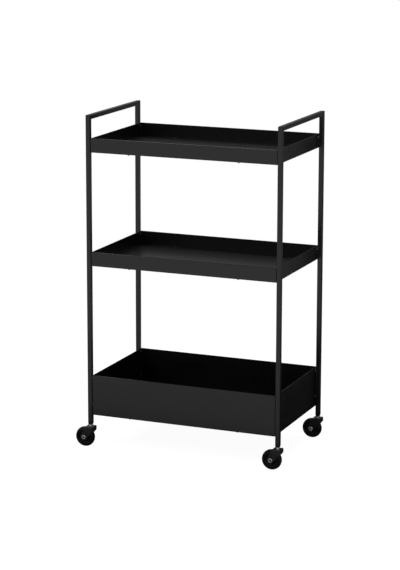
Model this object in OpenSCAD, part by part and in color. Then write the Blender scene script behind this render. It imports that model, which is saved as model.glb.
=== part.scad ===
// Three-tier serving cart. Four square tube legs and two handle bars carry three
// folded sheet trays, which are screwed to rivet nuts in the legs. A swivel caster
// sits in a socket in the foot of each leg.
// X runs along the cart, Y from front to back and Z up, and the floor is z = 0.
// All casters trail towards -X. The origin is at the middle of the whole cart's base.

/* [Frame] */
// Width over the legs
frame_w = 505; // [420:1:700]
// Depth over the legs
frame_d = 300; // [240:1:450]
// Side of the square tube, wide enough for a rivet nut beside a tray corner
tube_side = 11; // [11:0.5:16]
// Wall of the square tube
tube_wall = 0.8; // [0.6:0.1:1.2]
// Rounding of the tube's long edges
tube_edge = 1; // [0.6:0.1:1.6]
// Clear height between the top tray's rim and the handle bars
handle_gap = 45; // [35:1:90]

/* [Trays] */
// Height of the top tray's rim above the floor
top_rim = 774; // [700:1:950]
// Height of the middle tray's rim above the floor
middle_rim = 494; // [400:1:600]
// Height of the bottom tray's rim above the floor
bottom_rim = 184; // [170:1:260]
// Height of the two shallow trays
shallow_h = 35; // [28:1:80]
// Height of the deep bottom tray
deep_h = 101; // [60:1:105]
// Distance of the trays' long walls behind the legs' front and back faces
tray_inset = 1; // [0.5:0.1:1.4]
// Thickness of the tray sheet
sheet = 1; // [0.6:0.1:1.4]
// Inner rounding of the trays' upright corners
corner_in = 1; // [0.6:0.1:1.4]
// Inner rounding of the bend round the floor
bend_in = 0.4; // [0.2:0.1:0.6]
// Height of the hem that is folded inward along the rim
hem_h = 4; // [3:0.1:6]

/* [Screws and nuts] */
// Radius of a screw's shank
screw_r = 2; // [1.5:0.1:2.4]
// Length of a screw under its head
screw_len = 9; // [7:0.5:10]
// Radius of a screw's head
head_r = 3.8; // [3.4:0.1:4.2]
// Height of a screw's head
head_h = 2.2; // [1.8:0.1:2.6]
// Width across the flats of the hexagonal socket
hex_w = 2.5; // [2:0.1:3]
// Depth of the hexagonal socket
hex_depth = 1.3; // [0.8:0.1:1.5]
// Height of the deep tray's lower screws above its underside
low_screw_up = 26; // [12:1:40]
// Radius of a rivet nut's shank
nut_r = 2.9; // [2.7:0.1:3.2]
// Length of a rivet nut behind its flange
nut_len = 7.5; // [6:0.1:8.5]
// Thickness of a rivet nut's flange, which holds the trays off the legs
nut_flange = 0.8; // [0.5:0.1:1.5]

/* [Plugs] */
// Distance between the plugs along a tray
plug_spread = 284; // [120:1:360]
// Radius of a plug's domed head
plug_head_r = 4; // [3.6:0.1:6]
// Height of a plug's domed head
plug_head_h = 1.4; // [1:0.1:2.5]
// Radius of a plug's shank
plug_r = 3; // [2:0.1:3.3]
// Reach of a plug under its tray
plug_reach = 2.2; // [1.5:0.1:4]

/* [Casters] */
// Diameter of a wheel over its tyre
wheel_d = 50; // [40:1:56]
// Width of a tyre
wheel_w = 18; // [14:0.5:22]
// Thickness of a tyre between hub and tread
tyre_t = 7; // [5:0.5:10]
// Drop of the crowned tread from its middle to its sides
crown_drop = 4.5; // [2:0.5:6]
// Radius of the hub's boss about the axle
hub_boss_r = 8; // [6:0.5:10]
// Thickness of the hub's rim under the tyre
hub_rim_t = 2; // [1.5:0.1:3]
// Distance of the hub's web behind the tyre's sides
hub_recess = 4; // [2:0.5:5]
// Distance of the hub's rim behind the tyre's sides
hub_rim_inset = 0.5; // [0.2:0.1:2]
// Distance of the axle behind the stem
trail = 15; // [11:0.5:20]
// Thickness of the fork's walls
fork_t = 2.1; // [1.5:0.1:3]
// Reach of the fork's hood ahead of the stem
hood_ahead = 10; // [8:0.5:14]
// Reach of the fork's hood behind the stem
hood_behind = 11; // [8:0.5:13]
// Height of the wall at the front end of the hood
hood_end_h = 10.5; // [5:0.5:14]
// Radius of the fork's round ends about the axle
fork_boss_r = 8.5; // [6.5:0.5:11]
// Radius of the axle, a hollow rivet
axle_r = 3; // [2.5:0.1:4]
// Wall of the hollow axle
axle_wall = 0.8; // [0.5:0.1:1.2]
// Reach of an axle's rolled head beyond the axle
axle_lip = 2.4; // [1.5:0.1:3]
// Thickness of an axle's rolled head
axle_head_t = 1; // [0.6:0.1:1.5]
// Radius of a stem
stem_r = 3; // [2.5:0.1:3.4]
// Depth of a stem in its socket
stem_depth = 22; // [18:1:40]
// Radius of the collar on a stem
collar_r = 4.75; // [4.2:0.05:6]
// Height of the collar on a stem
collar_h = 4.2; // [2.5:0.1:8]
// Height of the end of a socket that shows below the leg
socket_end_h = 4.5; // [3:0.1:10]
// Width of the end of a socket at its narrow foot
socket_end_w = 8.5; // [8:0.1:10.5]
// Thickness of the closed top of a socket
socket_top = 2; // [1:0.1:4]

/* [Clearances] */
// Gap round a turning shaft
turn_gap = 0.05; // [0.02:0.01:0.1]
// Gap along a turning shaft
end_gap = 0.3; // [0.2:0.05:0.5]
// Gap round a piece that is pushed into a hole
push_gap = 0.05; // [0.02:0.01:0.1]
// Gap round a screw's shank in a tray's hole
screw_gap = 0.2; // [0.1:0.05:0.4]
// Gap between a wheel's side and the fork
wheel_side_gap = 0.9; // [0.5:0.1:2]
// Gap between a wheel's top and the hood
wheel_top_gap = 1; // [0.8:0.1:3]
// Gap between a screw's or plug's head and the fold beside it
head_gap = 0.7; // [0.3:0.1:1.5]

/* [Hidden] */
CORNERS = [["front_left", -1, -1], ["rear_left", -1, 1], ["front_right", 1, -1], ["rear_right", 1, 1]];
CORNER_PIECES = ["leg", "socket", "stem", "grip_ring", "fork", "axle", "wheel", "tyre"];
TRAYS = ["top_tray", "middle_tray", "bottom_tray"];
TRAY_PIECES = ["", "_screws", "_rivet_nuts", "_plugs"];
$fn = 64;

// Colours of the painted steel, the plastic, the rubber, the bright steel and the dark fasteners
PAINT = [0.13, 0.13, 0.13];
PLASTIC = [0.09, 0.09, 0.09];
RUBBER = [0.06, 0.06, 0.06];
ZINC = [0.65, 0.65, 0.65];
DARK_ZINC = [0.2, 0.2, 0.2];

// How far a cutting shape runs past the solid that it cuts
cut = 1;

// Casters, from the floor up
wheel_r = wheel_d / 2;
fork_in = wheel_w / 2 + wheel_side_gap;
fork_out = fork_in + fork_t;
hood_top = wheel_d + wheel_top_gap + fork_t;
socket_foot = hood_top + collar_h + end_gap;
leg_foot = socket_foot + socket_end_h;
axle_head_r = axle_r + axle_lip;

// Fork: the rounding along the hood, and how far its straight edges cut into the round ends
hood_edge = 1.6;
boss_bite = 0.3;

// Stem and grip ring: the peened end, and the groove with its distance from the stem's tip
peen_r = stem_r + 1.3;
peen_h = 1.2;
groove_depth = 0.6;
groove_h = 2.4;
groove_down = 7.7;
groove_z = socket_foot + stem_depth - groove_down;
ring_reach = 0.3;
ring_split = 1.2;

// Wheel: the tyre's inner radius and crown, and half the widths of the hub's boss, rim and web
tyre_in_r = wheel_r - tyre_t;
crown_r = (pow(crown_drop, 2) + pow(wheel_w / 2, 2)) / (2 * crown_drop);
hub_boss_half = fork_in - end_gap;
hub_rim_half = wheel_w / 2 - hub_rim_inset;
hub_web_half = wheel_w / 2 - hub_recess;

// Frame
frame_top = top_rim + handle_gap + tube_side;
leg_x = (frame_w - tube_side) / 2;
leg_y = (frame_d - tube_side) / 2;
tube_in = tube_side - 2 * tube_wall;

// Trays
tray_w = frame_w - 2 * tube_side - 2 * nut_flange;
tray_d = frame_d - 2 * tray_inset;
corner_out = corner_in + sheet;
bend_out = bend_in + sheet;
hem_end_gap = 0.5;

// Screws and rivet nuts, set beside the trays' corners and clear of the legs' inner walls
screw_y = tray_d / 2 - corner_out - head_r;
screw_drop = hem_h + head_gap + head_r;
head_edge = 0.5;
point_h = 0.3;
nut_lip = 0.8;
nut_swell = 0.4;
nut_room = screw_y - (leg_y - tube_in / 2) - push_gap;
nut_bulge_r = max(nut_r, min(nut_r + nut_swell, nut_room));
nut_bulge_h = 2.2;
thread_gap = 0.02;

// Plugs
plug_x = plug_spread / 2;
plug_y = tray_d / 2 - bend_out - head_gap - plug_head_r;
plug_edge = 0.4;
plug_barb = 0.3;
plug_point_r = 1.6;

// The cart's middle in the part's frame, which centres the length over the casters
reach_behind = max(frame_w / 2, leg_x + trail + wheel_r);
reach_ahead = max(frame_w / 2, leg_x + hood_ahead);
cart_x = (reach_behind - reach_ahead) / 2;

function rim(tray) = tray == "top_tray" ? top_rim : tray == "middle_tray" ? middle_rim : bottom_rim;
function tray_h(tray) = tray == "bottom_tray" ? deep_h : shallow_h;
// Heights of a tray's screws: one row under the rim, and a second one in the deep tray
function screw_heights(tray) = tray == "bottom_tray"
    ? [bottom_rim - screw_drop, bottom_rim - deep_h + low_screw_up]
    : [rim(tray) - screw_drop];
// Radius of a dome that rises from edge to h over the radius r
function dome_r(r, h, edge) = (r * r + pow(h - edge, 2)) / (2 * (h - edge));
// Point where a line from p touches the circle about c, on the side given by turn
function tangent_point(p, c, r, turn) =
    let (way = p - c, lean = atan2(way[1], way[0]), half = acos(r / norm(way)))
    c + r * [cos(lean + turn * half), sin(lean + turn * half)];

module at_corner(sx, sy) {
    translate([cart_x + sx * leg_x, sy * leg_y, 0]) children();
}

// Places its child at every screw of a tray, with +Z turned outward from the tray wall's outer face
module at_screws(tray) {
    for (sx = [-1, 1], sy = [-1, 1], z = screw_heights(tray))
        translate([cart_x + sx * tray_w / 2, sy * screw_y, z]) rotate([0, sx * 90, 0]) children();
}

module at_plugs(tray) {
    for (sx = [-1, 1], sy = [-1, 1])
        translate([cart_x + sx * plug_x, sy * plug_y, rim(tray) - tray_h(tray)]) children();
}

// Rectangle about the middle, with rounded corners
module rounded_rect(w, d, r) {
    square([w - 2 * r, d], center = true);
    square([w, d - 2 * r], center = true);
    for (x = [-1, 1], y = [-1, 1]) translate([x * (w / 2 - r), y * (d / 2 - r)]) circle(r);
}

// Upright section of a pan: rounded below by low_r and above by high_r
module pan_section(w, h, low_r, high_r) {
    translate([-w / 2, low_r]) square([w, h - low_r - high_r]);
    translate([-w / 2 + low_r, 0]) square([w - 2 * low_r, h - high_r]);
    translate([-w / 2 + high_r, low_r]) square([w - 2 * high_r, h - low_r]);
    for (s = [-1, 1]) {
        translate([s * (w / 2 - low_r), low_r]) circle(low_r);
        translate([s * (w / 2 - high_r), h - high_r]) circle(high_r);
    }
}

// Block with rounded upright corners and rounded edges above and below, standing on z = 0
module pan_block(w, d, h, corner, low_r, high_r) {
    intersection() {
        linear_extrude(h) rounded_rect(w, d, corner);
        rotate([90, 0, 90]) linear_extrude(w, center = true) pan_section(d, h, low_r, high_r);
        rotate([90, 0, 0]) linear_extrude(d, center = true) pan_section(w, h, low_r, high_r);
    }
}

// Section of the hem's folded-in layer, from the wall's inner face inward and down from the rim
module hem_section() {
    translate([0, -hem_h]) square([sheet, hem_h - sheet]);
    translate([0, -sheet]) intersection() {
        circle(sheet);
        square(sheet);
    }
}

// Tray: a folded pan with a hemmed rim, holes for its screws and holes for its plugs
module tray(tray) {
    color(PAINT) difference() {
        translate([cart_x, 0, 0]) {
            translate([0, 0, rim(tray) - tray_h(tray)]) difference() {
                pan_block(tray_w, tray_d, tray_h(tray), corner_out, bend_out, sheet);
                translate([0, 0, sheet])
                    pan_block(tray_w - 2 * sheet, tray_d - 2 * sheet, tray_h(tray) + cut, corner_in, bend_in, bend_in);
            }
            for (turn = [0, 180]) rotate(turn) {
                translate([0, sheet - tray_d / 2, rim(tray)]) rotate([90, 0, 90])
                    linear_extrude(tray_w - 2 * corner_out - 2 * hem_end_gap, center = true) hem_section();
                translate([sheet - tray_w / 2, 0, rim(tray)]) rotate([90, 0, 0])
                    linear_extrude(tray_d - 2 * corner_out - 2 * hem_end_gap, center = true) hem_section();
            }
        }
        at_screws(tray) translate([0, 0, -sheet - cut]) cylinder(h = sheet + 2 * cut, r = screw_r + screw_gap);
        at_plugs(tray) translate([0, 0, -cut]) cylinder(h = sheet + 2 * cut, r = plug_r + push_gap);
    }
}

// Button head screws, seated on the tray wall's inner face
module screws(tray) {
    color(DARK_ZINC) at_screws(tray) translate([0, 0, -sheet]) {
        difference() {
            mirror([0, 0, 1]) domed_head(head_r, head_h, head_edge);
            translate([0, 0, -head_h - cut])
                cylinder(h = hex_depth + cut, r = hex_w / 2 / cos(30), $fn = 6);
        }
        cylinder(h = screw_len - point_h, r = screw_r);
        translate([0, 0, screw_len - point_h]) cylinder(h = point_h, r1 = screw_r, r2 = screw_r - point_h);
    }
}

// Round head with a domed top, standing on z = 0
module domed_head(r, h, edge) {
    rotate_extrude() intersection() {
        square([r, h]);
        translate([0, h - dome_r(r, h, edge)]) circle(dome_r(r, h, edge));
    }
}

// Rivet nuts: flange between tray and leg, shank through the leg's wall, bulge behind it
module rivet_nuts(tray) {
    color(ZINC) at_screws(tray) difference() {
        union() {
            cylinder(h = nut_flange, r = nut_r + nut_lip);
            cylinder(h = nut_flange + nut_len, r = nut_r);
            translate([0, 0, nut_flange + tube_wall]) cylinder(h = nut_bulge_h, r = nut_bulge_r);
        }
        translate([0, 0, -cut]) cylinder(h = nut_flange + nut_len + 2 * cut, r = screw_r + thread_gap);
    }
}

// Push-in plugs: domed head on the tray's floor, shank through it, barbed point under it
module plugs(tray) {
    color(PLASTIC) at_plugs(tray) {
        translate([0, 0, sheet]) domed_head(plug_head_r, plug_head_h, plug_edge);
        cylinder(h = sheet, r = plug_r);
        translate([0, 0, -plug_reach]) cylinder(h = plug_reach, r1 = plug_point_r, r2 = plug_r + plug_barb);
    }
}

// Length of square tube about the Z axis
module tube(length) {
    linear_extrude(length) difference() {
        rounded_rect(tube_side, tube_side, tube_edge);
        square(tube_in, center = true);
    }
}

// Wedge above (up = 1) or below (up = -1) the mitre at the top of a leg, from that leg's middle
module mitre_wedge(sy, up) {
    half = tube_side / 2 + cut;
    mid = frame_top - tube_side / 2;
    rotate([90, 0, 90]) linear_extrude(2 * half, center = true)
        polygon([[sy * half, mid + half], [-sy * half, mid - half], [-up * sy * half, mid + up * half]]);
}

// Leg: square tube with a mitred top and a hole for each rivet nut
module leg(sx, sy) {
    heights = [for (t = TRAYS) each screw_heights(t)];
    color(PAINT) at_corner(sx, sy) difference() {
        translate([0, 0, leg_foot]) tube(frame_top - leg_foot);
        mitre_wedge(sy, 1);
        for (z = heights)
            translate([-sx * (tube_side / 2 + cut), sy * (screw_y - leg_y), z]) rotate([0, sx * 90, 0])
                cylinder(h = tube_wall + 2 * cut, r = nut_r + push_gap);
    }
}

// Handle bar: square tube from leg to leg, mitred at both ends
module handle_bar(sx) {
    color(PAINT) difference() {
        translate([cart_x + sx * leg_x, frame_d / 2, frame_top - tube_side / 2]) rotate([90, 0, 0]) tube(frame_d);
        for (sy = [-1, 1]) at_corner(sx, sy) mitre_wedge(sy, -1);
    }
}

// Section of a socket's end, which narrows towards its foot
module socket_end_section() {
    polygon([
        [-socket_end_w / 2, 0],
        [socket_end_w / 2, 0],
        [tube_side / 2, socket_end_h],
        [-tube_side / 2, socket_end_h]
    ]);
}

// Socket: insert in the leg's tube with a bore for the stem, and an end that shows below the leg
module socket(sx, sy) {
    bore_r = stem_r + turn_gap;
    bore_h = stem_depth + end_gap;
    color(PLASTIC) at_corner(sx, sy) translate([0, 0, socket_foot]) difference() {
        union() {
            intersection() {
                linear_extrude(socket_end_h) rounded_rect(tube_side, tube_side, tube_edge);
                rotate([90, 0, 90]) linear_extrude(tube_side, center = true) socket_end_section();
                rotate([90, 0, 0]) linear_extrude(tube_side, center = true) socket_end_section();
            }
            linear_extrude(bore_h + socket_top) square(tube_in - 2 * push_gap, center = true);
        }
        translate([0, 0, -cut]) cylinder(h = bore_h + cut, r = bore_r);
        translate([0, 0, groove_z - socket_foot - turn_gap])
            cylinder(h = groove_h + 2 * turn_gap, r = stem_r + ring_reach + turn_gap);
    }
}

// Stem: peened into the hood, with a collar under the socket and a groove for the grip ring
module stem(sx, sy) {
    tip_z = socket_foot + stem_depth;
    color(ZINC) at_corner(sx, sy) difference() {
        union() {
            translate([0, 0, hood_top - fork_t - peen_h]) cylinder(h = peen_h, r = peen_r);
            translate([0, 0, hood_top - fork_t]) cylinder(h = tip_z - hood_top + fork_t - point_h, r = stem_r);
            translate([0, 0, tip_z - point_h]) cylinder(h = point_h, r1 = stem_r, r2 = stem_r - point_h);
            translate([0, 0, hood_top]) cylinder(h = collar_h, r = collar_r);
        }
        translate([0, 0, groove_z]) difference() {
            cylinder(h = groove_h, r = stem_r + cut);
            cylinder(h = groove_h, r = stem_r - groove_depth);
        }
    }
}

// Grip ring: split ring that sits in the stem's groove and reaches into the socket's groove
module grip_ring(sx, sy) {
    color(ZINC) at_corner(sx, sy) translate([0, 0, groove_z + turn_gap]) linear_extrude(groove_h - 2 * turn_gap)
        difference() {
            circle(stem_r + ring_reach);
            circle(stem_r - groove_depth + turn_gap);
            translate([0, -ring_split / 2]) square([stem_r + cut, ring_split]);
        }
}

// Side of a fork from the hood down to the axle, seen along Y
module fork_side_section() {
    axle = [-trail, wheel_r];
    behind = [-hood_behind, hood_top];
    ahead = [hood_ahead, hood_top - hood_end_h];
    polygon([
        behind,
        [hood_ahead, hood_top],
        ahead,
        tangent_point(ahead, axle, fork_boss_r - boss_bite, -1),
        axle,
        tangent_point(behind, axle, fork_boss_r - boss_bite, 1)
    ]);
}

// Section of the hood across the wheel, with its two upper edges rounded
module hood_section() {
    half = fork_out - hood_edge;
    translate([-fork_out, 0]) square([2 * fork_out, hood_top - hood_edge]);
    translate([-half, 0]) square([2 * half, hood_top]);
    for (s = [-1, 1]) translate([s * half, hood_top - hood_edge]) circle(hood_edge);
}

// Fork: a hood over the wheel with a side on each face of it and a wall at its front end
module fork(sx, sy) {
    color(PLASTIC) at_corner(sx, sy) difference() {
        intersection() {
            rotate([90, 0, 0]) union() {
                linear_extrude(2 * fork_out, center = true) fork_side_section();
                translate([-trail, wheel_r, 0]) cylinder(h = 2 * fork_out, r = fork_boss_r, center = true);
            }
            rotate([90, 0, 90]) linear_extrude(4 * wheel_d, center = true) hood_section();
        }
        translate([-2 * wheel_d, -fork_in, -cut])
            cube([2 * wheel_d + hood_ahead - fork_t, 2 * fork_in, hood_top - fork_t + cut]);
        cylinder(h = hood_top + cut, r = stem_r + push_gap);
        translate([-trail, fork_out + cut, wheel_r]) rotate([90, 0, 0])
            cylinder(h = 2 * fork_out + 2 * cut, r = axle_r + push_gap);
    }
}

// Axle: hollow rivet through both sides of the fork, with a rolled head on each
module axle(sx, sy) {
    color(ZINC) at_corner(sx, sy) translate([-trail, 0, wheel_r]) rotate([90, 0, 0]) difference() {
        union() {
            cylinder(h = 2 * fork_out, r = axle_r, center = true);
            for (s = [-1, 1]) translate([0, 0, s * (fork_out + axle_head_t / 2)])
                cylinder(h = axle_head_t, r = axle_head_r, center = true);
        }
        cylinder(h = 2 * (fork_out + axle_head_t + cut), r = axle_r - axle_wall, center = true);
    }
}

module at_wheel(sx, sy) {
    at_corner(sx, sy) translate([-trail, 0, wheel_r]) rotate([90, 0, 0]) children();
}

// Wheel: the hub, with a boss about the axle, a thin web and a rim that carries the tyre
module wheel(sx, sy) {
    color(PLASTIC) at_wheel(sx, sy) difference() {
        union() {
            cylinder(h = 2 * hub_boss_half, r = hub_boss_r, center = true);
            cylinder(h = 2 * hub_web_half, r = tyre_in_r - hub_rim_t / 2, center = true);
            difference() {
                cylinder(h = 2 * hub_rim_half, r = tyre_in_r, center = true);
                cylinder(h = wheel_w + 2 * cut, r = tyre_in_r - hub_rim_t, center = true);
            }
        }
        cylinder(h = 2 * (hub_boss_half + cut), r = axle_r + turn_gap, center = true);
    }
}

// Tyre: flat sides and a crowned tread
module tyre(sx, sy) {
    color(RUBBER) at_wheel(sx, sy) rotate_extrude() intersection() {
        translate([tyre_in_r, -wheel_w / 2]) square([wheel_r - tyre_in_r, wheel_w]);
        translate([wheel_r - crown_r, 0]) circle(crown_r);
    }
}

for (c = CORNERS) {
    leg(c[1], c[2]);
    socket(c[1], c[2]);
    stem(c[1], c[2]);
    grip_ring(c[1], c[2]);
    fork(c[1], c[2]);
    axle(c[1], c[2]);
    wheel(c[1], c[2]);
    tyre(c[1], c[2]);
}
handle_bar(-1);  // left_handle_bar
handle_bar(1);  // right_handle_bar
for (t = TRAYS) {
    tray(t);
    screws(t);
    rivet_nuts(t);
    plugs(t);
}
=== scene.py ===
"""Three-tier serving cart: black powder-coated steel on four swivel casters.

Every length of the cart is in millimetres and is turned to metres when a mesh is made. The cart stands on
the floor z = 0, X runs along it, Y from front to back, and the casters trail towards -X. The stage and the
lamps are in metres.
"""
import math

import bmesh
import bpy
from mathutils import Matrix, Vector


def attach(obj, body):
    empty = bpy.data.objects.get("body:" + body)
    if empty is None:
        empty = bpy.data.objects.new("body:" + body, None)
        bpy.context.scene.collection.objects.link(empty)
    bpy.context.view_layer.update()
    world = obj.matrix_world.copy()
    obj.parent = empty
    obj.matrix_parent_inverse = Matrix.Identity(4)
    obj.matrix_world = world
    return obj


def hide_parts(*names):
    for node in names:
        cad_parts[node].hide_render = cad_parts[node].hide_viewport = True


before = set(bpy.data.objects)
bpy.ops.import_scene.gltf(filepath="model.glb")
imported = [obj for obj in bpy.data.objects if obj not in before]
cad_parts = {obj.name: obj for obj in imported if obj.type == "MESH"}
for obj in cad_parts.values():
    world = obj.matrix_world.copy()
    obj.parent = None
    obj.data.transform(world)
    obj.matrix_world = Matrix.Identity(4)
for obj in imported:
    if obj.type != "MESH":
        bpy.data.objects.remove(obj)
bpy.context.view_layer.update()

# Sizes
MM = 0.001

# The frame's square tube, and how far its middle lies ahead of the middle of the cart with its casters
FRAME_W, FRAME_D, FRAME_TOP = 505, 300, 830
TUBE, TUBE_WALL, TUBE_R, TUBE_IN_R = 11, 0.8, 1, 0.4
CART_X = 15
LEG_X, LEG_Y = (FRAME_W - TUBE) / 2, (FRAME_D - TUBE) / 2
LEG_FOOT = 62.1
WELD_GROOVE = 0.3

# The trays' sheet. Each tray has the height of its rim and the height of its walls
TRAYS = {"top_tray": (774, 35), "middle_tray": (494, 35), "bottom_tray": (184, 101)}
TRAY_W, TRAY_D = 481.4, 298
SHEET, CORNER_R, LEAST_CORNER_R, BEND_IN, FLOOR_EDGE = 1, 2, 0.25, 0.4, 8
HEM_H, HEM_END_GAP, HEM_SUNK, HEM_START = 4, 0.5, 0.3, 1.2

# Screws and plugs. The keys name the inputs of their geometry trees
SCREW_Y, SCREW_DROP, LOW_SCREW_Z = 143.2, 8.5, 109
SCREW_SIZES = {"Head Radius": 3.8, "Head Height": 2.2, "Socket Radius": 1.443, "Socket Depth": 1.3,
               "Shank Radius": 2, "Shank Length": 9}
PLUG_X, PLUG_Y = 142, 142.9
PLUG_SIZES = {"Head Radius": 4, "Head Height": 1.4, "Neck Radius": 3.3, "Tip Radius": 1.6, "Reach": 3.2}

# Wheels and casters. A half is a distance from the wheel's middle along its axle
TRAIL = 15
WHEEL_R, TYRE_IN_R, TYRE_HALF, CROWN_R = 25, 18, 9, 11.25
BEAD_W, BEAD_STEP = 1.5, 0.3
HUB_BORE_R, HUB_BOSS_R, HUB_RIM_R = 3.05, 8, 16
HUB_BOSS_HALF, HUB_WEB_HALF, HUB_RIM_HALF = 9.6, 5, 8.5
AXLE_R, AXLE_BORE_R, AXLE_HEAD_R, AXLE_HALF, AXLE_HEAD_T = 3, 2.2, 5.4, 13, 1
HOOD_TOP, FORK_T = 53.1, 2.1
FORK_EASE, SOCKET_EASE = 0.5, 0.3
STEM_R, PEEN_R, PEEN_H, COLLAR_R, COLLAR_H = 3, 4.3, 1.2, 4.75, 4.2
GROOVE_Z, GROOVE_H, GROOVE_DEPTH = 71.9, 2.4, 0.6
SOCKET_FOOT, STEM_DEPTH, STEM_POINT = 57.6, 22, 0.3

# Signs of X and Y at each corner
CORNERS = {"front_left": (-1, -1), "rear_left": (-1, 1), "front_right": (1, -1), "rear_right": (1, 1)}


# Nodes
def linear(hex_colour):
    """sRGB hex to the linear colour that a socket takes."""
    parts = [int(hex_colour[i:i + 2], 16) / 255 for i in (1, 3, 5)]
    return [p / 12.92 if p <= 0.04045 else ((p + 0.055) / 1.055) ** 2.4 for p in parts] + [1]


def add(tree, kind, settings=(), **sockets):
    """Adds a node. settings are its properties. Sockets go by lower-case name or as input_N, and take a
    value or a link."""
    node = tree.nodes.new(kind)
    for key, value in dict(settings).items():
        setattr(node, key, value)
    for key, value in sockets.items():
        if key.startswith("input_"):
            socket = node.inputs[int(key[6:])]
        else:
            socket = next(s for s in node.inputs if s.name.lower().replace(" ", "_") == key)
        if isinstance(value, bpy.types.NodeSocket):
            tree.links.new(value, socket)
        else:
            socket.default_value = value
    return node


def maths(tree, operation, *values):
    """Result of a sum on one or two values."""
    inputs = {f"input_{i}": value for i, value in enumerate(values)}
    return add(tree, "ShaderNodeMath", {"operation": operation}, **inputs).outputs[0]


def material(name):
    """New material, its empty node tree and the place on the piece in Object coordinates."""
    mat = bpy.data.materials.new(name)
    mat.use_nodes = True
    mat.node_tree.nodes.clear()
    return mat, mat.node_tree, add(mat.node_tree, "ShaderNodeTexCoord").outputs["Object"]


# Finishes
def per_metre(size_mm):
    """Noise scale on Object coordinates for cells of this size."""
    return 1 / (size_mm * MM)


def finish(name, dark, light, patch_mm, rough, grain_mm, grain_depth_mm, metallic=0.0, specular=0.5):
    """A surface whose colour drifts between dark and light over patches, whose roughness varies between
    the two values of rough, and whose bump is a grain of the given size and depth."""
    mat, tree, place = material(name)
    patches = add(tree, "ShaderNodeTexNoise", vector=place,
                  scale=per_metre(patch_mm), detail=3.0, roughness=0.6)
    drift = add(tree, "ShaderNodeValToRGB", fac=patches.outputs["Fac"])
    for stop, position, colour in zip(drift.color_ramp.elements, (0.35, 0.65), (dark, light)):
        stop.position, stop.color = position, linear(colour)
    grain = add(tree, "ShaderNodeTexNoise", vector=place,
                scale=per_metre(grain_mm), detail=2.0, roughness=0.5)
    gloss = add(tree, "ShaderNodeMapRange", value=grain.outputs["Fac"],
                from_min=0.3, from_max=0.7, to_min=rough[0], to_max=rough[1])
    bump = add(tree, "ShaderNodeBump", height=grain.outputs["Fac"],
               strength=1.0, distance=grain_depth_mm * MM)
    shader = add(tree, "ShaderNodeBsdfPrincipled", base_color=drift.outputs["Color"],
                 roughness=gloss.outputs["Result"], normal=bump.outputs["Normal"],
                 metallic=metallic, specular_ior_level=specular)
    add(tree, "ShaderNodeOutputMaterial", surface=shader.outputs["BSDF"])
    return mat


# Powder coat sprayed on steel tube and baked: satin, with the faint orange peel of the melted powder
frame_coat = finish("satin_powder_coat_on_tube", "#050505", "#070707", 60, (0.26, 0.31),
                    1.6, 0.006, specular=0.36)
# The same coat on flat sheet, where the peel is a little longer
tray_coat = finish("satin_powder_coat_on_sheet", "#050505", "#070707", 90, (0.26, 0.31),
                   2.2, 0.008, specular=0.36)
# Nylon moulded in a spark-eroded tool: a fine grain, a little greyer than the coat
nylon = finish("moulded_nylon_fine_grain", "#0f0f0f", "#131313", 12, (0.26, 0.34),
               0.5, 0.006, specular=0.34)
# Polypropylene moulded in a polished tool: half gloss with soft flow marks
hub_plastic = finish("moulded_polypropylene_half_gloss", "#050505", "#070707", 8, (0.24, 0.3),
                     1.2, 0.006, specular=0.3)
# Smooth thermoplastic rubber: dull, the darkest piece of the cart
tread_rubber = finish("thermoplastic_rubber_smooth", "#050505", "#080808", 6, (0.46, 0.56),
                      0.8, 0.012, specular=0.12)
# Bright zinc plating on turned steel: pale grey metal, slightly cloudy
zinc = finish("bright_zinc_plated_steel", "#c6c8ca", "#dcdddf", 4, (0.26, 0.38),
              0.6, 0.004, metallic=1.0)
# Inside of the rolled rivet: bare oiled steel, its colour darkened further as painted shade for the deep
# bore
oiled_bore_and_painted_shade = finish("oiled_steel_bore", "#0a0a0a", "#141313", 2, (0.5, 0.6), 0.4, 0.004, specular=0.3)
# Black zinc plating on the screws: a dark metal skin with a soft highlight, lighter than the coat round it
black_zinc = finish("black_zinc_plated_steel", "#3a3c3f", "#45474a", 3, (0.3, 0.38),
                    0.5, 0.004, metallic=1.0)
# Polyethylene plugs, smooth from the tool: they catch a little more light than the coat
plug_plastic = finish("moulded_polyethylene_smooth", "#141414", "#191919", 5, (0.26, 0.34),
                      0.7, 0.004, specular=0.5)

SLOT_FINISH = {"frame_paint": frame_coat, "tray_paint": tray_coat, "black_plastic": nylon,
               "wheel_plastic": hub_plastic, "tyre_rubber": tread_rubber, "zinc_steel": zinc,
               "black_zinc": black_zinc}


# Making pieces
def piece_from(mesh, name, body, slot, nodes):
    """Puts a mesh in the scene as a piece that rides on a body and stands for CAD nodes."""
    obj = bpy.data.objects.new(name, mesh)
    bpy.context.scene.collection.objects.link(obj)
    mesh.materials.clear()
    mesh.materials.append(SLOT_FINISH[slot])
    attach(obj, body)
    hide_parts(*nodes)
    return obj


def in_metres(points):
    return [tuple(c * MM for c in point) for point in points]


def cleaned(mesh, smooth_below):
    """Merges doubles, turns the normals outwards and smooths all but the edges sharper than an angle."""
    work = bmesh.new()
    work.from_mesh(mesh)
    bmesh.ops.remove_doubles(work, verts=work.verts, dist=1e-7)
    # A profile that starts and ends on the axis leaves one bare edge along it
    bmesh.ops.delete(work, geom=[e for e in work.edges if not e.link_faces], context="EDGES")
    bmesh.ops.recalc_face_normals(work, faces=work.faces)
    work.to_mesh(mesh)
    work.free()
    mesh.shade_smooth()
    mesh.set_sharp_from_angle(angle=math.radians(smooth_below))
    return mesh


def mesh_from(name, verts, faces, smooth_below=40):
    """Closed mesh in metres from points in millimetres."""
    mesh = bpy.data.meshes.new(name)
    mesh.from_pydata(in_metres(verts), [], faces)
    return cleaned(mesh, smooth_below)


def even_normals(obj):
    """Lets the large flat faces set the shading, so that the small bends beside them stay crisp."""
    mod = obj.modifiers.new("even_normals", "WEIGHTED_NORMAL")
    mod.keep_sharp = True
    mod.weight = 80


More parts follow.
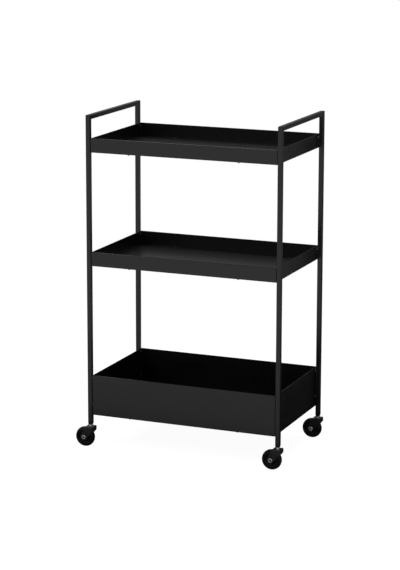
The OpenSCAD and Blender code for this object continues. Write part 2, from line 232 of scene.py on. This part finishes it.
def skin(loops, capped=True):
    """Faces between successive loops of equal length, with capped ends or the last joined to the first."""
    n = len(loops[0])
    verts = [v for loop in loops for v in loop]
    faces = []
    for i in range(len(loops) - (1 if capped else 0)):
        a, b = i * n, (i + 1) % len(loops) * n
        faces += [(a + k, a + (k + 1) % n, b + (k + 1) % n, b + k) for k in range(n)]
    if capped:
        faces += [tuple(range(n)), tuple(range((len(loops) - 1) * n, len(loops) * n))]
    return verts, faces


def arc(r, angles):
    """Points of a bend of radius r that starts along the second axis, as (aside, along) at each angle."""
    return [(r * (1 - math.cos(math.radians(a))), r * math.sin(math.radians(a))) for a in angles]


def rounded_square(w, d, r, steps=4):
    """Points of a rounded rectangle about the middle."""
    points = []
    for x, y, start in ((1, 1, 0), (-1, 1, 90), (-1, -1, 180), (1, -1, 270)):
        for k in range(steps + 1):
            a = math.radians(start + 90 * k / steps)
            points.append((x * (w / 2 - r) + r * math.cos(a), y * (d / 2 - r) + r * math.sin(a)))
    return points


def turned(profile, centre, axis, segments=72):
    """Solid turned about an axis from a closed profile of (radius, distance along the axis)."""
    loops = []
    for k in range(segments):
        a = 2 * math.pi * k / segments
        points = [(r * math.cos(a), r * math.sin(a), t) for r, t in profile]
        if axis == "Y":
            points = [(x, t, y) for x, y, t in points]
        loops.append([tuple(c + p for c, p in zip(centre, point)) for point in points])
    return skin(loops, capped=False)


def both_ways(half):
    """Profile of a piece that is the same on both sides of its middle."""
    return half + [(r, -t) for r, t in reversed(half)]


def softened(profile, r, steps=3):
    """Closed profile with each corner rounded by up to r."""
    out = []
    for i, p in enumerate(profile):
        here, after = Vector(p), Vector(profile[(i + 1) % len(profile)])
        to_before, to_after = Vector(profile[i - 1]) - here, after - here
        cut = min(r, to_before.length * 0.45, to_after.length * 0.45)
        a, b = here + to_before.normalized() * cut, here + to_after.normalized() * cut
        for k in range(steps + 1):
            f = k / steps
            out.append(tuple(a * (1 - f) ** 2 + here * 2 * f * (1 - f) + b * f ** 2))
    return out


# Frame
def tube_sections():
    """Outer, eased and inner section of the tube. The eased one leaves a fine line at each weld."""
    return (rounded_square(TUBE, TUBE, TUBE_R),
            rounded_square(TUBE - 2 * WELD_GROOVE, TUBE - 2 * WELD_GROOVE, TUBE_R - WELD_GROOVE),
            rounded_square(TUBE - 2 * TUBE_WALL, TUBE - 2 * TUBE_WALL, TUBE_IN_R))


def leg_mesh(name, sx, sy):
    """Leg with a mitred top."""
    cx, cy = CART_X + sx * LEG_X, sy * LEG_Y
    mid = FRAME_TOP - TUBE / 2
    outer, eased, inner = tube_sections()
    loops = [[(cx + x, cy + y, LEG_FOOT + up) for x, y in section]
             for section, up in ((inner, 0), (eased, 0), (outer, WELD_GROOVE))]
    loops += [[(cx + x, cy + y, mid + sy * y - down) for x, y in section]
              for section, down in ((outer, WELD_GROOVE), (eased, 0), (inner, 0))]
    return mesh_from(name, *skin(loops, capped=False))


def bar_mesh(name, sx):
    """Handle bar: the same tube laid from leg to leg and mitred at both ends."""
    cx, mid = CART_X + sx * LEG_X, FRAME_TOP - TUBE / 2
    outer, eased, inner = tube_sections()
    loops = []
    for sy, order in ((-1, (inner, eased, outer)), (1, (outer, eased, inner))):
        for points in order:
            back = WELD_GROOVE if points is outer else 0
            loops.append([(cx + x, sy * (LEG_Y + z - back), mid + z) for x, z in points])
    return mesh_from(name, *skin(loops, capped=False))


for corner, (sx, sy) in CORNERS.items():
    node = f"{corner}_leg"
    even_normals(piece_from(leg_mesh(node, sx, sy), f"{node}_tube", "cart", "frame_paint", [node]))
for side, sx in (("left", -1), ("right", 1)):
    node = f"{side}_handle_bar"
    even_normals(piece_from(bar_mesh(node, sx), f"{node}_tube", "cart", "frame_paint", [node]))


# Trays
def pan_profile(rim, low):
    """(Distance behind the outer face, height) of the pan, from its underside over the rim to its floor."""
    bend_out = BEND_IN + SHEET
    floor = low + SHEET
    profile = [(FLOOR_EDGE, low)]
    profile += [(bend_out - along, low + up) for up, along in arc(bend_out, (0, 22.5, 45, 67.5, 90))]
    profile += [(off, rim - SHEET + up) for off, up in arc(SHEET, (0, 30, 60, 90))]
    profile += [(SHEET, rim - HEM_H), (SHEET, floor + BEND_IN)]
    profile += [(SHEET + off, floor + BEND_IN - down) for off, down in arc(BEND_IN, (30, 60, 90))]
    return profile + [(FLOOR_EDGE, floor)]


def hem_section():
    """(Distance behind the wall's inner face, drop under the rim) of a hem, which is sunk into the wall."""
    section = [(-HEM_SUNK, HEM_START), (0, 0)]
    section += [(off, drop) for drop, off in arc(SHEET, (30, 60, 90))]
    return section + [(SHEET, HEM_H - 0.25), (SHEET - 0.2, HEM_H), (-HEM_SUNK, HEM_H)]


def tray_mesh(name, rim, high):
    """Folded pan with a hem turned inward along each side, made as one pan and four hem strips."""
    loops = []
    for inset, z in pan_profile(rim, rim - high):
        r = max(CORNER_R - inset, LEAST_CORNER_R)
        section = rounded_square(TRAY_W - 2 * inset, TRAY_D - 2 * inset, r, 6)
        loops.append([(CART_X + x, y, z) for x, y in section])
    verts, faces = skin(loops)
    for along_x in (True, False):
        length, depth = (TRAY_W, TRAY_D) if along_x else (TRAY_D, TRAY_W)
        half = length / 2 - CORNER_R - HEM_END_GAP
        for side in (-1, 1):
            ends = []
            for end in (-half, half):
                points = [(end, side * (depth / 2 - SHEET - off), rim - drop) for off, drop in hem_section()]
                points = [(a, b, z) if along_x else (b, a, z) for a, b, z in points]
                ends.append([(CART_X + x, y, z) for x, y, z in points])
            more, their_faces = skin(ends)
            faces += [tuple(i + len(verts) for i in f) for f in their_faces]
            verts += more
    return mesh_from(name, verts, faces, smooth_below=50)


for tray, (rim, high) in TRAYS.items():
    even_normals(piece_from(tray_mesh(tray, rim, high), f"{tray}_pan", "cart", "tray_paint", [tray]))


# Fasteners
def sized_tree(name, sizes):
    """Geometry tree with a Geometry input, one named input for each size and a Material input."""
    tree = bpy.data.node_groups.new(name, "GeometryNodeTree")
    tree.interface.new_socket("Geometry", in_out="INPUT", socket_type="NodeSocketGeometry")
    for size in sizes:
        tree.interface.new_socket(size, in_out="INPUT", socket_type="NodeSocketFloat")
    tree.interface.new_socket("Material", in_out="INPUT", socket_type="NodeSocketMaterial")
    tree.interface.new_socket("Geometry", in_out="OUTPUT", socket_type="NodeSocketGeometry")
    return tree, tree.nodes.new("NodeGroupInput").outputs, tree.nodes.new("NodeGroupOutput").inputs


def dome(tree, radius, height):
    """Half a flattened ball standing on z = 0, closed by a flat face."""
    ball = add(tree, "GeometryNodeMeshUVSphere", segments=32, rings=16, radius=1.0)
    size = add(tree, "ShaderNodeCombineXYZ", x=radius, y=radius, z=height)
    ball = add(tree, "GeometryNodeTransform", geometry=ball.outputs["Mesh"], scale=size.outputs[0])
    split = add(tree, "ShaderNodeSeparateXYZ", vector=add(tree, "GeometryNodeInputPosition").outputs[0])
    level = maths(tree, "MAXIMUM", split.outputs["Z"], 0.0)
    seat = add(tree, "ShaderNodeCombineXYZ", x=split.outputs["X"], y=split.outputs["Y"], z=level)
    flat = add(tree, "GeometryNodeSetPosition", geometry=ball.outputs["Geometry"], position=seat.outputs[0])
    return flat.outputs[0]


def moved(tree, geometry, distance):
    """Geometry moved along Z."""
    way = add(tree, "ShaderNodeCombineXYZ", z=distance)
    return add(tree, "GeometryNodeTransform", geometry=geometry, translation=way.outputs[0]).outputs[0]


def set_out(tree, given, out, parts):
    """Joins the parts, puts them on the points of the given geometry and gives them their finish."""
    whole = tree.nodes.new("GeometryNodeJoinGeometry")
    for part in parts:
        tree.links.new(part, whole.inputs[0])
    turn = add(tree, "GeometryNodeInputNamedAttribute", {"data_type": "FLOAT_VECTOR"}, name="turn")
    turn = add(tree, "FunctionNodeEulerToRotation", euler=turn.outputs[0])
    placed = add(tree, "GeometryNodeInstanceOnPoints", points=given["Geometry"],
                 instance=whole.outputs[0], rotation=turn.outputs[0])
    real = add(tree, "GeometryNodeRealizeInstances", geometry=placed.outputs[0])
    done = add(tree, "GeometryNodeSetMaterial", geometry=real.outputs[0], material=given["Material"])
    tree.links.new(done.outputs[0], out["Geometry"])


def screw_tree():
    """Button head screw: domed head with a hexagonal socket, and a shank that runs the other way."""
    tree, given, out = sized_tree("button_head_screw", SCREW_SIZES)
    head = dome(tree, given["Head Radius"], given["Head Height"])
    key = add(tree, "GeometryNodeMeshCylinder", vertices=6, radius=given["Socket Radius"],
              depth=maths(tree, "MULTIPLY", given["Socket Depth"], 2.0))
    key = moved(tree, key.outputs["Mesh"], given["Head Height"])
    cut = add(tree, "GeometryNodeMeshBoolean", {"operation": "DIFFERENCE", "solver": "EXACT"},
              mesh_1=head, mesh_2=key)
    shank = add(tree, "GeometryNodeMeshCylinder", vertices=24, radius=given["Shank Radius"],
                depth=given["Shank Length"])
    shank = moved(tree, shank.outputs["Mesh"], maths(tree, "MULTIPLY", given["Shank Length"], -0.5))
    set_out(tree, given, out, [cut.outputs[0], shank])
    return tree


def plug_tree():
    """Push-in plug: domed head on the tray's floor, and a neck that narrows to its tip under the tray."""
    tree, given, out = sized_tree("push_in_plug", PLUG_SIZES)
    neck = add(tree, "GeometryNodeMeshCone", vertices=24, radius_top=given["Neck Radius"],
               radius_bottom=given["Tip Radius"], depth=given["Reach"])
    neck = moved(tree, neck.outputs["Mesh"], maths(tree, "MULTIPLY", given["Reach"], -1.0))
    set_out(tree, given, out, [dome(tree, given["Head Radius"], given["Head Height"]), neck])
    return tree


def set_fasteners(name, tree, sizes, places, slot, node):
    """Sets a fastener at each place, given as its point and the turn of its axis, all as one mesh."""
    mesh = bpy.data.meshes.new(name)
    mesh.from_pydata(in_metres(point for point, _ in places), [], [])
    turns = mesh.attributes.new("turn", "FLOAT_VECTOR", "POINT")
    for i, (_, turn) in enumerate(places):
        turns.data[i].vector = turn
    holder = bpy.data.objects.new(f"{name}_places", mesh)
    bpy.context.scene.collection.objects.link(holder)
    mod = holder.modifiers.new("fasteners", "NODES")
    mod.node_group = tree
    for item in tree.interface.items_tree:
        if item.in_out == "INPUT" and item.name in sizes:
            mod[item.identifier] = sizes[item.name] * MM
        elif item.in_out == "INPUT" and item.name == "Material":
            mod[item.identifier] = SLOT_FINISH[slot]
    graph = bpy.context.evaluated_depsgraph_get()
    made = bpy.data.meshes.new_from_object(holder.evaluated_get(graph))
    bpy.data.objects.remove(holder)
    return piece_from(cleaned(made, 35), name, "cart", slot, [node])


screw, plug = screw_tree(), plug_tree()
SIDES = (-1, 1)
for tray, (rim, high) in TRAYS.items():
    heights = [rim - SCREW_DROP] + ([LOW_SCREW_Z] if tray == "bottom_tray" else [])
    places = [((CART_X + sx * (TRAY_W / 2 - SHEET), sy * SCREW_Y, z), (0, -sx * math.pi / 2, 0))
              for sx in SIDES for sy in SIDES for z in heights]
    set_fasteners(f"{tray}_button_screws", screw, SCREW_SIZES, places, "black_zinc", f"{tray}_screws")
    places = [((CART_X + sx * PLUG_X, sy * PLUG_Y, rim - high + SHEET), (0, 0, 0))
              for sx in SIDES for sy in SIDES]
    plugs = set_fasteners(f"{tray}_push_plugs", plug, PLUG_SIZES, places, "black_plastic", f"{tray}_plugs")
    plugs.data.materials[0] = plug_plastic


# Casters
def clean_copy(node):
    """The solid of a CAD node as one clean mesh: its triangles joined into flat faces."""
    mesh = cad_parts[node].data.copy()
    mesh.name = f"{node}_clean"
    work = bmesh.new()
    work.from_mesh(mesh)
    bmesh.ops.remove_doubles(work, verts=work.verts, dist=2e-6)
    bmesh.ops.dissolve_limit(work, angle_limit=math.radians(1), verts=work.verts, edges=work.edges)
    work.to_mesh(mesh)
    work.free()
    mesh.shade_smooth()
    mesh.set_sharp_from_angle(angle=math.radians(30))
    return mesh


def ease_edges(obj, ease_mm):
    mod = obj.modifiers.new("eased_edges", "BEVEL")
    mod.width = ease_mm * MM
    mod.segments = 2
    mod.limit_method = "ANGLE"
    mod.angle_limit = math.radians(30)
    mod.harden_normals = True
    even_normals(obj)


def crown(t):
    """Radius of the tread at a distance from the wheel's middle."""
    return WHEEL_R - CROWN_R + math.sqrt(CROWN_R ** 2 - t * t)


def tyre_profile():
    """Crowned tread, and side walls that a shallow step sets off from the bead at the hub."""
    edge = crown(TYRE_HALF) - 0.2
    step = TYRE_HALF - BEAD_STEP
    bead = TYRE_IN_R + BEAD_W
    tread = [(crown(t), t) for t in (-8.6, -7.6, -6, -4, -2, 0, 2, 4, 6, 7.6, 8.6)]
    return ([(TYRE_IN_R, -step), (bead - 0.3, -step), (bead, -TYRE_HALF), (edge, -TYRE_HALF)] + tread
            + [(edge, TYRE_HALF), (bead, TYRE_HALF), (bead - 0.3, step), (TYRE_IN_R, step)])


def hub_profile():
    """Boss, web and rim, with the sides of boss and rim a little sloped for the mould."""
    half = [(HUB_BORE_R, HUB_BOSS_HALF), (HUB_BOSS_R, HUB_BOSS_HALF), (HUB_BOSS_R + 0.3, HUB_WEB_HALF),
            (HUB_RIM_R - 0.2, HUB_WEB_HALF), (HUB_RIM_R, HUB_RIM_HALF), (TYRE_IN_R, HUB_RIM_HALF)]
    return softened([(HUB_BORE_R, -HUB_BOSS_HALF)] + both_ways(half)[:-1], 0.5)


def axle_profile():
    """Hollow rivet with a head rolled over at each end."""
    under_head = AXLE_HALF - AXLE_HEAD_T
    half = [(AXLE_BORE_R, AXLE_HALF - 0.3), (AXLE_BORE_R + 0.4, AXLE_HALF), (AXLE_HEAD_R - 0.5, AXLE_HALF),
            (AXLE_HEAD_R, AXLE_HALF - 0.4), (AXLE_HEAD_R, under_head), (AXLE_R, under_head)]
    return softened(both_ways(half), 0.25)


def stem_profile():
    """Peened end under the hood, collar on it, and a shank with a groove for the grip ring."""
    peen, collar = HOOD_TOP - FORK_T, HOOD_TOP + COLLAR_H
    groove_r, groove_top, tip = STEM_R - GROOVE_DEPTH, GROOVE_Z + GROOVE_H, SOCKET_FOOT + STEM_DEPTH
    return [(0, peen - PEEN_H), (PEEN_R - 0.7, peen - PEEN_H), (PEEN_R, peen - PEEN_H / 2), (PEEN_R, peen),
            (STEM_R, peen), (STEM_R, HOOD_TOP), (COLLAR_R - 0.3, HOOD_TOP), (COLLAR_R, HOOD_TOP + 0.35),
            (COLLAR_R, collar - 0.4), (COLLAR_R - 0.4, collar), (STEM_R, collar), (STEM_R, GROOVE_Z),
            (groove_r, GROOVE_Z), (groove_r, groove_top), (STEM_R, groove_top),
            (STEM_R, tip - STEM_POINT), (STEM_R - STEM_POINT, tip), (0, tip)]


for corner, (sx, sy) in CORNERS.items():
    x, y = CART_X + sx * LEG_X, sy * LEG_Y
    swivel, wheel = f"{corner}_swivel", f"{corner}_wheel"
    hub_centre = (x - TRAIL, y, WHEEL_R)
    for node, name, body, ease in (
        ("fork", "fork_moulding", swivel, FORK_EASE),
        ("socket", "socket_insert", "cart", SOCKET_EASE),
    ):
        node = f"{corner}_{node}"
        ease_edges(piece_from(clean_copy(node), f"{corner}_{name}", body, "black_plastic", [node]), ease)
    for node, profile, centre, axis, body, slot, name in (
        ("stem", stem_profile(), (x, y, 0), "Z", swivel, "zinc_steel", "turned_stem"),
        ("axle", axle_profile(), hub_centre, "Y", swivel, "zinc_steel", "rolled_axle"),
        ("wheel", hub_profile(), hub_centre, "Y", wheel, "wheel_plastic", "hub"),
        ("tyre", tyre_profile(), hub_centre, "Y", wheel, "tyre_rubber", "tread"),
    ):
        name = f"{corner}_{name}"
        mesh = mesh_from(name, *turned(profile, centre, axis))
        piece = piece_from(mesh, name, body, slot, [f"{corner}_{node}"])
        if node == "axle":
            # The faces inside the bore take the dark finish, whose colour is partly painted shade
            piece.data.materials.append(oiled_bore_and_painted_shade)
            for face in piece.data.polygons:
                middle = face.center - Vector(centre) * MM
                face.material_index = int(math.hypot(middle.x, middle.z) < (AXLE_BORE_R + 0.15) * MM)

# Rivet nuts and grip rings keep their CAD solids, in plated steel
for node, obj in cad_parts.items():
    if node.endswith(("_rivet_nuts", "_grip_ring")):
        obj.data.materials.clear()
        obj.data.materials.append(zinc)


# Camera, fitted to the photograph's straight edges: its image is 570 pixels high, its axis lies AXIS_Y_PX
# down, and it stands at an azimuth from the front towards the right, an elevation and a distance in mm
IMAGE_H, SENSOR_W = 570, 36
FOCAL_PX, AXIS_Y_PX = 2054.6, 228.0
AZIMUTH, ELEVATION, ROLL = (math.radians(t) for t in (22.512, 11.020, 0.116))
DISTANCE, AIM = 5043.6, (-15.4 + CART_X, 0, 544.3)

back = Vector((math.sin(AZIMUTH) * math.cos(ELEVATION), -math.cos(AZIMUTH) * math.cos(ELEVATION),
               math.sin(ELEVATION)))
right = (-back).cross(Vector((0, 0, 1))).normalized()
up = right.cross(-back)
right, up = (math.cos(ROLL) * right + math.sin(ROLL) * up, -math.sin(ROLL) * right + math.cos(ROLL) * up)
camera = bpy.data.objects.new("camera", bpy.data.cameras.new("camera"))
bpy.context.scene.collection.objects.link(camera)
stand = Matrix.Translation((Vector(AIM) + back * DISTANCE) * MM)
camera.matrix_world = stand @ Matrix((right, up, back)).transposed().to_4x4()
camera.data.sensor_width = SENSOR_W
camera.data.lens = FOCAL_PX / IMAGE_H * SENSOR_W
camera.data.shift_y = (AXIS_Y_PX - IMAGE_H / 2) / IMAGE_H
camera.data.clip_start, camera.data.clip_end = 0.1, 100
bpy.context.scene.camera = camera


# Stage and light, in metres
WHITE = linear("#ffffff")


def emission(tree, level):
    return add(tree, "ShaderNodeEmission", color=WHITE, strength=level).outputs[0]


def mix(tree, fac, low, high):
    return add(tree, "ShaderNodeMixShader", fac=fac, input_1=low, input_2=high).outputs[0]


def ramp(tree, value, start, end, low=0.0, high=1.0):
    """Value that runs smoothly from low at start to high at end."""
    return add(tree, "ShaderNodeMapRange", {"interpolation_type": "SMOOTHSTEP"}, value=value,
               from_min=start, from_max=end, to_min=low, to_max=high).outputs["Result"]


def blend(tree, fac, low, high):
    rise = maths(tree, "SUBTRACT", high, low)
    return maths(tree, "ADD", low, maths(tree, "MULTIPLY", rise, fac))


def square(reach, z):
    """Corners of a level square about the middle."""
    return [(x * reach, y * reach, z) for x, y in ((-1, -1), (1, -1), (1, 1), (-1, 1))]


def stage_piece(name, verts, mat, faces=((0, 1, 2, 3),)):
    """Puts a mesh in the scene as part of the stage, by default one face."""
    mesh = bpy.data.meshes.new(name)
    mesh.from_pydata(verts, [], faces)
    obj = bpy.data.objects.new(name, mesh)
    mesh.materials.append(mat)
    bpy.context.scene.collection.objects.link(obj)
    return obj


# White room for the rays that see the background as it is, and a dimmer one that lights the cart
world = bpy.data.worlds.new("white_studio")
bpy.context.scene.world = world
world.use_nodes = True
tree = world.node_tree
tree.nodes.clear()
white = add(tree, "ShaderNodeBackground", color=WHITE, strength=1.0)
room = add(tree, "ShaderNodeBackground", color=WHITE, strength=0.55)
path = add(tree, "ShaderNodeLightPath").outputs
seen = maths(tree, "MAXIMUM", path["Is Camera Ray"], path["Is Glossy Ray"])
seen = maths(tree, "MAXIMUM", seen, path["Is Transmission Ray"])
add(tree, "ShaderNodeOutputWorld", surface=mix(tree, seen, room.outputs[0], white.outputs[0]))

# Pale paper floor. The camera sees it white, with a faint shadow round the casters. Reflections see a
# painted shadow
# in it: dark under the cart and white further out
FLOOR_REACH = 6
SHADOW_IN, SHADOW_OUT = 0.6, 1.6
paper, tree, place = material("pale_paper_floor")
far = add(tree, "ShaderNodeVectorMath", {"operation": "LENGTH"}, vector=place).outputs["Value"]
fade = add(tree, "ShaderNodeMapRange", value=far,
           from_min=SHADOW_IN, from_max=SHADOW_OUT, to_min=0.0, to_max=1.0)
matt = add(tree, "ShaderNodeBsdfDiffuse", color=linear("#e6e6e6")).outputs[0]
thin = add(tree, "ShaderNodeBsdfDiffuse", color=linear("#606060")).outputs[0]
near = add(tree, "ShaderNodeAddShader", input_0=thin, input_1=emission(tree, 0.95)).outputs[0]
shown = mix(tree, fade.outputs["Result"], near, emission(tree, 1.0))
split = add(tree, "ShaderNodeSeparateXYZ", vector=place).outputs
beside = maths(tree, "SUBTRACT", maths(tree, "ABSOLUTE", split["X"]), 0.1)
beside = maths(tree, "MAXIMUM", beside, maths(tree, "ABSOLUTE", split["Y"]))
# Painted shadow for reflections: the emitted level is dark within the cart's footprint and rises outwards
painted_shadow_under_cart = ramp(tree, beside, 0.25, 0.45, 0.03, 0.68)
level = maths(tree, "ADD", painted_shadow_under_cart, ramp(tree, beside, 0.45, 1.5, 0.0, 0.32))
path = add(tree, "ShaderNodeLightPath").outputs
lit = mix(tree, path["Is Glossy Ray"], matt, emission(tree, level))
seen = maths(tree, "MAXIMUM", path["Is Camera Ray"], path["Is Transmission Ray"])
add(tree, "ShaderNodeOutputMaterial", surface=mix(tree, seen, lit, shown))
stage_piece("floor", square(FLOOR_REACH, 0), paper)


# Cards that only the reflections see. Together they are a studio that is white in front and dark behind and
# to the right of the cart, with a softbox overhead
def card(name):
    """Material of a card, its tree, and on the card the height, the distance from the cart and the angle
    round it in degrees, 0 along X."""
    mat, tree, place = material(name)
    split = add(tree, "ShaderNodeSeparateXYZ", vector=place).outputs
    distance = add(tree, "ShaderNodeVectorMath", {"operation": "LENGTH"}, vector=place).outputs["Value"]
    turn = maths(tree, "ARCTAN2", split["Y"], split["X"])
    return mat, tree, split["Z"], distance, maths(tree, "DEGREES", turn)


def glow(tree, level):
    add(tree, "ShaderNodeOutputMaterial", surface=emission(tree, level))


def plain_card(name, level):
    mat, tree, place = material(name)
    glow(tree, level)
    return mat


def band(name, start, end, step, edges, mat):
    """Card round the cart between two angles, between two rings that are given by radius and height."""
    turns = [math.radians(t) for t in range(start, end, step)]
    verts = [(math.cos(t) * r, math.sin(t) * r, z) for r, z in edges for t in turns]
    n = len(turns)
    return stage_piece(name, verts, mat, [(i, i + 1, n + i + 1, n + i) for i in range(n - 1)])


CARD_R, CARD_H, FLOOR_CARD_IN_R = 2.6, 3.2, 0.28

# Wall card: darkest behind to the right, lighter to the left and towards its top. Near the floor its left
# part is pale
wall_card, tree, height, distance, angle = card("grey_wall_card")
level = ramp(tree, angle, 95, 125, 0.15, 0.32)
high = blend(tree, ramp(tree, height, 1.4, 2.6), level, 0.6)
upper = blend(tree, ramp(tree, angle, 125, 150), high, 0.5)
lower = ramp(tree, angle, 67, 79, 0.18, 0.85)
glow(tree, blend(tree, ramp(tree, height, 0.25, 0.45), lower, upper))
wall = band("reflected_wall_card", 14, 166, 4, ((CARD_R, 0.001), (CARD_R, CARD_H)), wall_card)

# Floor card: pale, with a dark wedge to the right and behind that the right walls reflect
floor_card, tree, height, distance, angle = card("grey_floor_card")
wedge = maths(tree, "SUBTRACT", ramp(tree, angle, -24, -4), ramp(tree, angle, 74, 94))
glow(tree, blend(tree, wedge, 0.7, ramp(tree, distance, 0.7, 1.8, 0.025, 0.19)))
ground = band("reflected_floor_card", -24, 141, 4, ((FLOOR_CARD_IN_R, 0.002), (CARD_R, 0.002)), floor_card)

# Black flag beside the rear right leg: the right walls get darker towards it
FLAG_X, FLAG_Y, FLAG_Z = 0.42, (0.42, 1.1), (0.001, 0.71)
flag_corners = [(FLAG_X, FLAG_Y[i], FLAG_Z[k]) for i, k in ((0, 0), (1, 0), (1, 1), (0, 1))]
flag = stage_piece("reflected_flag", flag_corners, plain_card("black_flag", 0.03))

# Grey cloth above the front: the insides of the trays reflect it, the outsides reflect the white floor
CLOTH_R, CLOTH_FOOT, CEILING, CEILING_REACH = 3.2, 0.95, 4, 3.4
cloth = plain_card("grey_cloth", 0.6)
front = band("reflected_front_cloth", 166, 375, 8, ((CLOTH_R, CLOTH_FOOT), (CLOTH_R, CEILING)), cloth)
ceiling = stage_piece("reflected_ceiling_cloth", square(CEILING_REACH, CEILING), cloth)

# Softbox behind and above: its broad reflection lights the top tray's floor
SOFTBOX = [(-2.2, 0.3, 3.3), (1.4, 0.3, 3.3), (1.4, 2.4, 3.1), (-2.2, 2.4, 3.1)]
overhead = stage_piece("reflected_softbox", SOFTBOX, plain_card("overhead_softbox", 4.5))
for obj in (wall, ground, flag, front, ceiling, overhead):
    obj.visible_camera = obj.visible_diffuse = obj.visible_shadow = False
    obj.visible_transmission = obj.visible_volume_scatter = False


def soft_lamp(name, place, size, power):
    """Large square lamp aimed at the cart. It lights surfaces but leaves no hot spot in them."""
    lamp = bpy.data.lights.new(name, "AREA")
    lamp.shape = "RECTANGLE"
    lamp.size = lamp.size_y = size
    lamp.energy = power
    obj = bpy.data.objects.new(name, lamp)
    bpy.context.scene.collection.objects.link(obj)
    obj.location = place
    aim = Vector((CART_X * MM, 0, 0.4)) - Vector(place)
    obj.rotation_euler = aim.to_track_quat("-Z", "Y").to_euler()
    obj.visible_glossy = False


soft_lamp("key_softbox", (-2.2, -3.0, 3.0), 2.0, 90)
soft_lamp("top_softbox", (0.3, 0.2, 3.6), 2.5, 60)

bpy.context.scene.view_settings.view_transform = "Standard"
